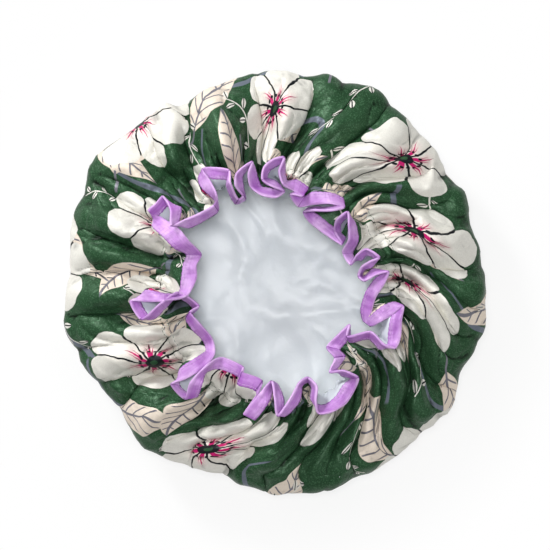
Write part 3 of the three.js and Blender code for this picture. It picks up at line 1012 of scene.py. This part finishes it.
def printed_satin():
    """Green satin with its print, painted glints and painted shade in its valleys. The pale print is duller
    and less creased.
    """
    n = Nodes("printed_satin")
    # Painted glints of sheen: pale green specks in the base colour
    glints = n.step(n.noise(*GLINTS), *GLINT_EDGE) * 0.7
    result = stem(n, n.painted(GREEN, [(n.noise(25.0, 3.0), GREEN_DEEP), (glints, GREEN_GLINT)]))
    result = leaf(n, leaf(n, result, "leaf_under"), "leaf_over")
    result = blossom(n, sprig(n, result))
    pale = n.step(n.add("ShaderNodeSeparateColor", "Green", {0: result}), *PALE)
    # Painted shade in the narrow and broad valleys, less on pale print
    narrow, broad = (
        1.0 - valley * (dark - pale * less)
        for valley, (dark, less) in zip(n.mapped("valley"), VALLEY_PAINTED_SHADES)
    )
    grain = 1.0 + (n.noise(*GRAIN) - 0.5) * GRAIN_CONTRAST
    shade = grain * (narrow * broad)
    return n.shade({
        "Base Color": n.mix(1.0, result, shade, "MULTIPLY"),
        "Roughness": 0.31 + n.noise(220.0, 3.0, 0.6) * 0.2 + pale * 0.16,
        "Metallic": 0.2,
        "Specular IOR Level": 0.2,
        "Normal": satin_relief(n, pale),
    })


def lining_material():
    """A pale translucent film with a soft gloss, and painted shade in the ruffle."""
    n = Nodes("lining_film")
    # Painted shade darkens the film in the ruffle, above the gathers
    ruffle_shade = n.step(n.part(n.place, "Z"), *FILM_SHADE_HEIGHTS)
    film = n.mix(n.noise(14.0, 3.0), FILM, FILM_LIGHT)
    return n.shade({
        "Base Color": n.mix(ruffle_shade * 0.75, film, FILM_PAINTED_SHADE),
        "Roughness": 0.4,
        "Coat Weight": 0.08,
        "Coat Roughness": 0.25,
        "Normal": n.relief([
            (n.noise(70.0, 3.0), 0.35 * MM),
            (abs(n.noise(130.0, 3.0, 0.55) - 0.5) ** 0.7, 0.14 * MM),
            (n.noise(1500.0, 2.0, 0.6), 0.003 * MM),
        ]),
    })


def binding_material():
    """Lilac satin tape with painted shade in its puckers, creases and folds, painted shadow along its seam,
    and a painted highlight at its edge.
    """
    n = Nodes("binding_satin")
    across, along = n.mapped("tape")
    bend, shade_beside_bend = n.mapped("bend")
    pucker, creasing = (
        n.noise(1.0, place=n.combined(across * often_across, along * often_along))
        for often_across, often_along in (PUCKERS, TAPE_CREASES)
    )
    crease = abs(creasing - 0.5)
    sunken = n.step(n.noise(1.0, 1.0, place=n.combined(along * SUNKEN_STRETCHES, 0.0)), *SUNKEN_EDGE)
    tape = n.painted(LILAC, [
        (n.step(n.noise(70.0, 3.0), 0.25, 0.75), LILAC_LIGHT),
        # Painted shade in puckers, creases, sunken stretches and beside the bends, painted shadow along the
        # seam and at sharp bends, and a painted highlight along the edge
        (n.step(pucker, 0.5, 0.7) * n.step(across, 0.75, 0.1) * 0.35, LILAC_PUCKER_SHADE),
        (n.step(crease, 0.04, 0.0) * 0.25, LILAC_CREASE_SHADE),
        (n.step(across, 0.9, 1.0) * 0.5, LILAC_EDGE_HIGHLIGHT),
        (n.step(across, 0.06, 0.0) * 0.7, LILAC_SEAM_SHADOW),
        (n.step(across, 0.2, 0.45) * n.step(across, 0.88, 0.66) * sunken * 0.5, LILAC_SUNKEN_SHADE),
        (shade_beside_bend * 0.6, LILAC_SHADE_BESIDE_BEND),
        (n.step(bend, 0.15, 0.85) * 0.85, LILAC_BEND_SHADOW),
    ])
    return n.shade({
        "Base Color": tape,
        "Roughness": 0.42,
        "Metallic": 0.05,
        "Specular IOR Level": 0.35,
        "Normal": n.relief([
            (pucker, 0.3 * MM), (crease**0.6, 0.2 * MM), (n.noise(120.0), 0.9 * MM),
            (n.noise(1500.0, 2.0, 0.6), 0.02 * MM),
        ]),
    })


def yarn_material(name, first, second, scale, roughness, relief):
    """Thread or braid: two tones in fine specks, over a relief with its scale, detail and depth."""
    n = Nodes(name)
    relief_scale, detail, depth = relief
    return n.shade({
        "Base Color": n.mix(n.noise(scale), first, second),
        "Roughness": roughness,
        "Normal": n.relief([(n.noise(relief_scale, detail), depth)]),
    })


def thread_material(name, tint):
    return yarn_material(name, tint, tuple(c * 0.6 for c in tint), 1500.0, 0.5, (4000.0, 2.0, 0.05 * MM))


# The print's motifs: how far apart they lie on the flat cloth and how long they are, in mm, and the
# reach of each one in its own length, as lowest and highest x and y
MOTIFS = {
    "stem": (78, 92, (0, 1, -0.2, 0.2)),
    "leaf_under": (76, 67, (-0.25, 1, -0.22, 0.28)),
    "leaf_over": (86, 63, (-0.25, 1, -0.22, 0.28)),
    "sprig": (60, 46, (0, 1, -0.22, 0.4)),
    "bloom": (97, 41, (-1, 1, -1, 1)),
}
PRINT_SEED = 4
PRINT_TRIES = 3000
MOTIF_SIZES = (0.88, 1.1)
MOTIF_MARGIN = 1.12
OFF_MOTIF = 9.0
BAKE_SHARE = 0.49

# The film's soft rumples: their lengths in mm, their depth as a share of that, how far and over how many
# of their lengths they sway, how sharp they are, and the distances from the gathers over which they set
# in. Then its creases: how wide and how deep, in mm, and their seeds, how sharp they are, and how far
# and how widely they wander, in their own widths
RUMPLES_MM = (150, 120, 95, 75, 55, 40, 30)
RUMPLE_SEED = 33
RUMPLE_DEPTH = 0.013
RUMPLE_SWAY = 1.2
RUMPLE_SWAY_LENGTH = 2.3
RUMPLE_SHARPNESS = 1.6
RUMPLE_START = (85 * MM, 125 * MM)
FILM_CREASES = [(70, 1.5, 71), (44, 1.0, 73), (26, 0.6, 75)]
FILM_CREASE_SHARPNESS = 6
FILM_CREASE_DRIFT = 0.3
FILM_DRIFT_WIDTH = 1.4


def scattered(apart, rng):
    """Places on the flat cloth that keep at least a given distance from each other."""
    places = []
    for x, y in rng.uniform(-cut_radius, cut_radius, (PRINT_TRIES, 2)):
        if math.hypot(x, y) < cut_radius and all(math.hypot(x - a, y - b) > apart for a, b in places):
            places.append((x, y))
    return places


def whole_numbers(things, name):
    """One whole number of each face or corner of a mesh."""
    values = np.empty(len(things), int)
    things.foreach_get(name, values)
    return values


def lay_print(piece, flat, painted_shade_depths):
    """Gives each face of the cloth the coordinates of the motif of each kind that covers it."""
    mesh = piece.data
    corner_point = whole_numbers(mesh.loops, "vertex_index")
    starts = whole_numbers(mesh.polygons, "loop_start")
    corner_face = np.repeat(np.arange(len(starts)), whole_numbers(mesh.polygons, "loop_total"))
    rng = np.random.default_rng(PRINT_SEED)
    for name, (apart, size, reach) in MOTIFS.items():
        low, high = np.array(reach[0::2]), np.array(reach[1::2])
        middle, half = (low + high) / 2, (high - low) / 2
        best = np.full(len(starts), MOTIF_MARGIN)
        chosen = np.full(len(starts), -1)
        placed = []
        for place in scattered(apart * MM, rng):
            heading = rng.uniform(0, TURN)
            length = size * MM * rng.uniform(*MOTIF_SIZES)
            placed.append(turned(flat - place, heading) / length + middle)
            off = np.abs(placed[-1] - middle) / half
            score = (np.hypot(*off.T) if name == "bloom" else off.max(axis=1))[corner_point[starts]]
            chosen[score < best] = len(placed) - 1
            best = np.minimum(best, score)
        placed = np.stack(placed + [np.full_like(placed[0], OFF_MOTIF)])
        lay_uv(piece, name, placed[chosen[corner_face], corner_point])
    lay_uv(piece, "OFBake", (0.5 + flat / cut_radius * BAKE_SHARE)[corner_point])
    # How deep each point lies in a narrow and a broad valley, for the painted shade there
    lay_uv(piece, "valley", painted_shade_depths[corner_point])


def lining_rumples(points):
    """How far the loose film lifts off the satin under it, in soft rumples that cross each other."""
    rng = np.random.default_rng(RUMPLE_SEED)
    lift = np.zeros(len(points))
    for wave in RUMPLES_MM:
        wave *= MM
        heading, start, bend = rng.uniform(0, TURN, 3)
        along, across = turned(points[:, :2], heading).T
        sway = RUMPLE_SWAY * np.sin(TURN * across / (RUMPLE_SWAY_LENGTH * wave) + bend)
        phase = TURN * along / wave + start + sway
        lift += wave * RUMPLE_DEPTH * (1 - np.abs(np.sin(phase / 2))) ** RUMPLE_SHARPNESS
    for size, depth, seed in FILM_CREASES:
        wander = cloth_noise(points[:, :2], FILM_DRIFT_WIDTH * size * MM, seed)[:, None]
        drift = FILM_CREASE_DRIFT * size * MM * wander
        crease = 1 - np.abs(cloth_noise(points[:, :2] + drift, size * MM, seed + 1))
        lift += depth * MM * crease**FILM_CREASE_SHARPNESS
    return lift


# The two layers, on one folded surface midway between them
rings, ring_along, ring_places, sewn_line, free_line = middle_rings()
middle_points = np.vstack(rings)
point_along = np.repeat(ring_along, [len(ring) for ring in rings])
point_place = np.concatenate(ring_places)
point_sideways = np.vstack([tangents(ring) for ring in rings])
cloth_faces = ring_faces(rings)
flat_reach = body_length - point_along
flat_points = round_points(flat_reach, -TURN * point_place / len(turn_at), 0)[:, :2]
fold_height, fold_shift = fold_offsets(point_along, point_place)
fold_height += crumple_heights(flat_points, point_along)
middle_points += point_normals(middle_points, cloth_faces) * fold_height[:, None]
middle_points += point_sideways * fold_shift[:, None]
middle_points = uncrossed(middle_points, point_sideways, rings)
middle_normals = point_normals(middle_points, cloth_faces)
channel = np.exp(-(((point_along - CHANNEL_MIDDLE) / CHANNEL_REACH) ** 4))
shell_offset = LAYER_OFFSET + (CHANNEL_OFFSET - LAYER_OFFSET) * channel
shell_points = middle_points + middle_normals * shell_offset[:, None]
lining_points = middle_points - middle_normals * LAYER_OFFSET
lining_points = tucked(lining_points, shell_points, cloth_faces, np.abs(point_along) < TUCK_REACH)
shell_points[:, 2] = np.maximum(shell_points[:, 2], SHELL_FLOOR)
lining_points[:, 2] = np.maximum(lining_points[:, 2], LINING_FLOOR)
lining_points[:, 2] += lining_rumples(lining_points) * ease(point_along, *RUMPLE_START)
satin = printed_satin()
film = lining_material()
lilac = binding_material()
shell = new_piece("satin_shell", shell_points, cloth_faces, satin, "outer_satin_shell")
# The depths of the valleys, for the satin's painted shade
lay_print(shell, flat_points, np.column_stack([
    hollows(middle_points, middle_normals, rings, *sizes) for sizes in (NARROW_HOLLOWS, BROAD_HOLLOWS)
]))
lining_faces = [face[::-1] for face in cloth_faces]
inner = new_piece("lining_film", lining_points, lining_faces, film, "soft_lining")

# The binding's section: where across its width it starts to turn over the free edge, and the points of
# a side. Then how it swells and is drawn in at its seam, its sunken band and its edge, in shares of its
# half thickness: by how much, where across its width and how widely. Last, the waves of its crumples
TURN_OVER = 0.92
SIDE_POINTS = 9
SWELL = 0.25
SWELL_ACROSS = 1.1
SEAM_PULL = (0.25, 0.2)
SEAM_WIDTH = 0.13
SUNKEN_BAND = (0.5, 0.56, 0.15)
SUNKEN_LENGTH = 23 * MM
RAISED_EDGE = (0.3, 0.86, 0.09)
PUCKERED_EDGE = 0.35 * MM
TAPE_WAVE_DEPTH = 0.09
TAPE_WAVES_MM = (6.1, 8.3, 11.7, 17.0)
TAPE_WAVE_LEANS = (-3, 3)
TAPE_SEED = 17

# The binding's bends: the points over which a bend is read and within which it is the sharpest, the
# turns between which its painted shadow line darkens, and the points over which the painted shade beside
# it fades
BEND_REACH = 3
BEND_APART = 5
BEND_TURNS = (0.35, 0.9)
BEND_SHADE = 10

# The elastic's section, as shares of its half width and half thickness
ELASTIC_SECTION = [
    (-0.85, 1), (-0.3, 1), (0.3, 1), (0.85, 1), (1, 0),
    (0.85, -1), (0.3, -1), (-0.3, -1), (-0.85, -1), (-1, 0),
]

# A stitch's sections along it: how far along, how far out in thread radii, and how thick
STITCH_SECTIONS = np.array([
    (0, -1.4, 0.5), (0.12, 0.35, 0.95), (0.5, 0.7, 1.0), (0.88, 0.35, 0.95), (1, -1.4, 0.5),
])
STITCH_SIDES = 6
COLUMN_SHARES = np.arange(RUFFLE_POINTS) / RUFFLE_POINTS


def cloth_line(along, offset):
    """Points and normals of the folded cloth at one distance from the gathers, off its middle surface."""
    ends = np.cumsum([len(ring) for ring in rings])
    after = int(np.argmax(np.array(ring_along) <= along))
    sampled = []
    for index in (after - 1, after):
        count = len(rings[index])
        left, right, part = round_places(COLUMN_SHARES * count, count)
        for values in (middle_points, middle_normals):
            row = values[ends[index] - count:ends[index]]
            sampled.append(between(row[left], row[right], part[:, None]))
    part = (ring_along[after - 1] - along) / (ring_along[after - 1] - ring_along[after])
    points = between(sampled[0], sampled[2], part)
    normals = unit(between(sampled[1], sampled[3], part))
    return points + normals * offset, normals


def banded(rows, name, material, replaced):
    """A closed band from its section's corners, each corner a closed line of points."""
    points = np.stack(rows, axis=1)
    count, sides = points.shape[:2]
    i, k = np.indices((count, sides))
    next_i, next_k = (i + 1) % count * sides, (k + 1) % sides
    faces = np.stack([i * sides + k, i * sides + next_k, next_i + next_k, next_i + k], axis=-1)
    return new_piece(name, points.reshape(-1, 3), faces.reshape(-1, 4).tolist(), material, replaced)


def sharp_bends(line):
    """How sharply a closed line turns where it turns most, and the painted shade beside that, from 0 to 1.
    """
    behind = unit(line - np.roll(line, BEND_REACH, axis=0))
    ahead = unit(np.roll(line, -BEND_REACH, axis=0) - line)
    turn = np.arccos(np.clip((behind * ahead).sum(axis=1), -1, 1))
    most = np.max([np.roll(turn, shift) for shift in range(-BEND_APART, BEND_APART + 1)], axis=0)
    sharp = np.where(turn >= most, ease(turn, *BEND_TURNS), 0)
    leftward = np.cross(behind, ahead)[:, 2] > 0
    shade = np.zeros(len(line))
    for shift in range(BEND_SHADE):
        fading = (1 - shift / BEND_SHADE) ** 1.5
        for side, way in ((leftward, shift), (~leftward, -shift)):
            shade = np.maximum(shade, fading * np.roll(np.where(side, sharp, 0), way))
    return np.column_stack([sharp, shade])


def lay_tape(piece, shares, length, bends):
    """Maps a closed band: its section's shares across it, its length in tape widths, and its bends."""
    count, sides = len(length), len(shares)
    shares = np.append(shares, shares[0])
    ends = np.append(length, 2 * length[-1] - length[-2]) / BINDING_WIDTH
    bends = np.vstack([bends, bends[:1]])
    tape, bend = np.empty((2, count, sides, 4, 2))
    for corner, (ahead, up) in enumerate([(0, 0), (0, 1), (1, 1), (1, 0)]):
        tape[:, :, corner, 0] = shares[up:sides + up][None, :]
        tape[:, :, corner, 1] = ends[ahead:count + ahead][:, None]
        bend[:, :, corner] = bends[ahead:count + ahead][:, None]
    lay_uv(piece, "tape", tape)
    lay_uv(piece, "bend", bend)


def binding_lines():
    """The binding's direction across the tape, its outward direction and its width."""
    across = unit(free_line - sewn_line)
    out = unit(np.cross(across, tangents(free_line + sewn_line)))
    return across, out, np.linalg.norm(free_line - sewn_line, axis=1)


def bell(value, depth, middle, spread):
    return depth * math.exp(-((value - middle) / spread) ** 2)


def binding_piece(material):
    """The binding, folded over the free edge of both layers, with puckers along its seam."""
    across, out, width = binding_lines()
    length = np.cumsum(steps_round(sewn_line))
    pucker = 0.5 + 0.5 * np.cos(TURN * length / (STITCH_LENGTH + STITCH_GAP))
    rng = np.random.default_rng(TAPE_SEED)
    waves = [(wave * MM, rng.uniform(0, TURN), rng.uniform(*TAPE_WAVE_LEANS)) for wave in TAPE_WAVES_MM]

    def side_row(share, side):
        pull, pucker_pull = SEAM_PULL
        seam = bell(share, 1, BINDING_STITCH_SHARE, SEAM_WIDTH)
        swell = 1 + SWELL * math.sin(math.pi * min(share * SWELL_ACROSS, 1))
        swell = swell - seam * (pull + pucker_pull * pucker)
        hollow = 0.5 + 0.5 * np.sin(TURN * length / SUNKEN_LENGTH + 2 * side)
        swell = swell - hollow * bell(share, *SUNKEN_BAND) + bell(share, *RAISED_EDGE)
        crumple = sum(np.sin(TURN * length / wave + start + lean * share) for wave, start, lean in waves)
        edge = -PUCKERED_EDGE * (1 - pucker) * float(share == 0)
        thickness = BINDING_HALF * (side * swell + TAPE_WAVE_DEPTH * crumple)
        return sewn_line + across * (width * share + edge)[:, None] + out * thickness[:, None]

    def turned_row(angle):
        point = sewn_line + across * (width * TURN_OVER + BINDING_HALF * math.sin(angle))[:, None]
        return point + out * (BINDING_HALF * math.cos(angle))

    shares = np.linspace(0, TURN_OVER, SIDE_POINTS)
    angles = np.linspace(0, math.pi, SIDE_POINTS)[1:-1]
    rows = [side_row(share, 1) for share in shares] + [turned_row(angle) for angle in angles]
    rows += [side_row(share, -1) for share in shares[::-1]]
    piece = banded(rows, "ruffle_binding", material, "edge_binding")
    section = np.concatenate([shares, np.ones(len(angles)), shares[::-1]])
    lay_tape(piece, section, length, sharp_bends((free_line + sewn_line) / 2))
    return piece


def elastic_piece(material):
    """The flat braided elastic in its channel between the layers."""
    rows = []
    for across, side in ELASTIC_SECTION:
        along = CHANNEL_MIDDLE + across * ELASTIC_WIDTH / 2
        rows.append(cloth_line(along, ELASTIC_OFFSET + side * ELASTIC_THICKNESS / 2)[0])
    return banded(rows, "elastic_ring", material, "elastic_band")


def stitches(name, lines, material, replaced):
    """Rows of short stitches that lie along closed lines and dip into the cloth at both ends."""
    shares, dips, thicks = STITCH_SECTIONS.T
    last = len(shares) - 1
    angle = even_turns(STITCH_SIDES)[:, None]
    all_points = []
    all_faces = []
    total = 0
    for points, normals in lines:
        points, normals = (np.vstack([values, values[:1]]) for values in (points, normals))
        length = length_along(points)
        number = int(length[-1] / (STITCH_LENGTH + STITCH_GAP))
        pitch = length[-1] / number
        spots = np.arange(number)[:, None] * pitch + shares * (pitch - STITCH_GAP)
        at, up = (
            np.stack([np.interp(spots, length, column) for column in values.T], axis=-1)
            for values in (points, normals)
        )
        up = unit(up)
        ahead = unit(at[:, -1] - at[:, 0])[:, None, :]
        side = unit(np.cross(np.broadcast_to(ahead, up.shape), up))
        ring = np.cos(angle) * side[:, :, None, :] + np.sin(angle) * up[:, :, None, :]
        tube = (at + up * (dips * THREAD_RADIUS)[:, None])[:, :, None, :]
        tube = tube + ring * (thicks * THREAD_RADIUS)[:, None, None]
        i, section, k = np.indices((number, last, STITCH_SIDES))
        start = total + (i * (last + 1) + section) * STITCH_SIDES
        a, b = start + k, start + (k + 1) % STITCH_SIDES
        all_faces += np.stack([a, b, b + STITCH_SIDES, a + STITCH_SIDES], axis=-1).reshape(-1, 4).tolist()
        caps = a[:, 0, :]
        all_faces += caps[:, ::-1].tolist() + (caps + last * STITCH_SIDES).tolist()
        all_points.append(tube.reshape(-1, 3))
        total += len(all_points[-1])
    return new_piece(name, np.vstack(all_points), all_faces, material, replaced)


def binding_stitch_lines():
    across, out, width = binding_lines()
    base = sewn_line + across * (width * BINDING_STITCH_SHARE)[:, None]
    return [(base + out * (side * BINDING_STITCH_OFFSET), out * side) for side in (1, -1)]


def gather_stitch_lines():
    lines = []
    for along in GATHER_STITCH_ALONG:
        for side in (1, -1):
            points, normals = cloth_line(along, side * (LAYER_OFFSET + GATHER_STITCH_OFFSET))
            lines.append((points, normals * side))
    return lines


braid = yarn_material("braided_elastic", ELASTIC, ELASTIC_SHADE, 2500.0, 0.8, (2200.0, 1.0, 0.12 * MM))
binding = binding_piece(lilac)
elastic_piece(braid)
gather_thread = stitches(
    "gather_stitches", gather_stitch_lines(), thread_material("green_thread", GREEN_THREAD),
    "gather_stitching",
)
binding_thread = stitches(
    "binding_stitches", binding_stitch_lines(), thread_material("lilac_thread", LILAC_THREAD),
    "binding_stitching",
)
CUT_ACROSS = 2 * cut_radius
math.pi * CUT_ACROSS**2 / 4
math.pi * CUT_ACROSS**2 / 4

# The lamps: place, size and power. Then the world's strength, and the floor's half width and the radii
# between which it clears to white
LAMPS = {
    "key_light": ((-0.93, 1.2, 0.76), 0.35, 21),
    "fill_light": ((1.2, -0.6, 1.2), 0.8, 3),
    "top_light": ((-0.1, 0.15, 2.0), 0.5, 20),
}
WORLD_STRENGTH = 0.26
FLOOR_HALF = 2
FLOOR_CLEARS = (0.15, 0.23)


def floor_material():
    """A white floor that keeps a light shadow, and shows white to the camera and in reflections."""
    n = Nodes("floor")
    rays = [n.add("ShaderNodeLightPath", f"Is {kind} Ray") for kind in ("Camera", "Glossy", "Transmission")]
    seen = n.math("MAXIMUM", rays[0], n.math("MAXIMUM", rays[1], rays[2]))
    reach = n.add("ShaderNodeVectorMath", "Value", {0: n.place}, operation="LENGTH")
    clear = 0.8 + n.step(reach, *FLOOR_CLEARS) * 0.2
    n.shade({"Base Color": (0.9, 0.9, 0.9, 1), "Roughness": 0.9})
    surface, glow = Wire(n, n.shader.outputs[0]), n.add("ShaderNodeEmission", 0)
    shown = n.add("ShaderNodeMixShader", 0, {0: seen * clear, 1: surface, 2: glow})
    n.plug(n.tree.nodes["Material Output"].inputs["Surface"], shown)
    return n.material


def camera_and_light():
    scene = bpy.context.scene
    data = bpy.data.cameras.new("camera")
    data.sensor_width = SENSOR
    data.lens = SENSOR / 2 / (PHOTO_MIDDLE * PIXEL_SLOPE)
    scene.camera = add_object("camera", data)
    scene.camera.location = (CAMERA_X, CAMERA_Y, CAMERA_HEIGHT)
    for name, (place, size, power) in LAMPS.items():
        light = bpy.data.lights.new(name, "AREA")
        light.shape = "DISK"
        light.size = size
        light.energy = power
        lamp = add_object(name, light)
        lamp.location = place
        x, y, z = place
        lamp.rotation_euler = (math.acos(z / np.linalg.norm(place)), 0, math.atan2(y, x) + math.pi / 2)
    world = bpy.data.worlds.new("studio")
    world.use_nodes = True
    background = world.node_tree.nodes["Background"].inputs
    background["Color"].default_value = (1, 1, 1, 1)
    background["Strength"].default_value = WORLD_STRENGTH
    scene.world = world
    scene.view_settings.view_transform = "Standard"
    corners = [(x * FLOOR_HALF, y * FLOOR_HALF, 0) for x, y in ((-1, -1), (1, -1), (1, 1), (-1, 1))]
    mesh_object("floor", corners, [(0, 1, 2, 3)], floor_material())


camera_and_light()
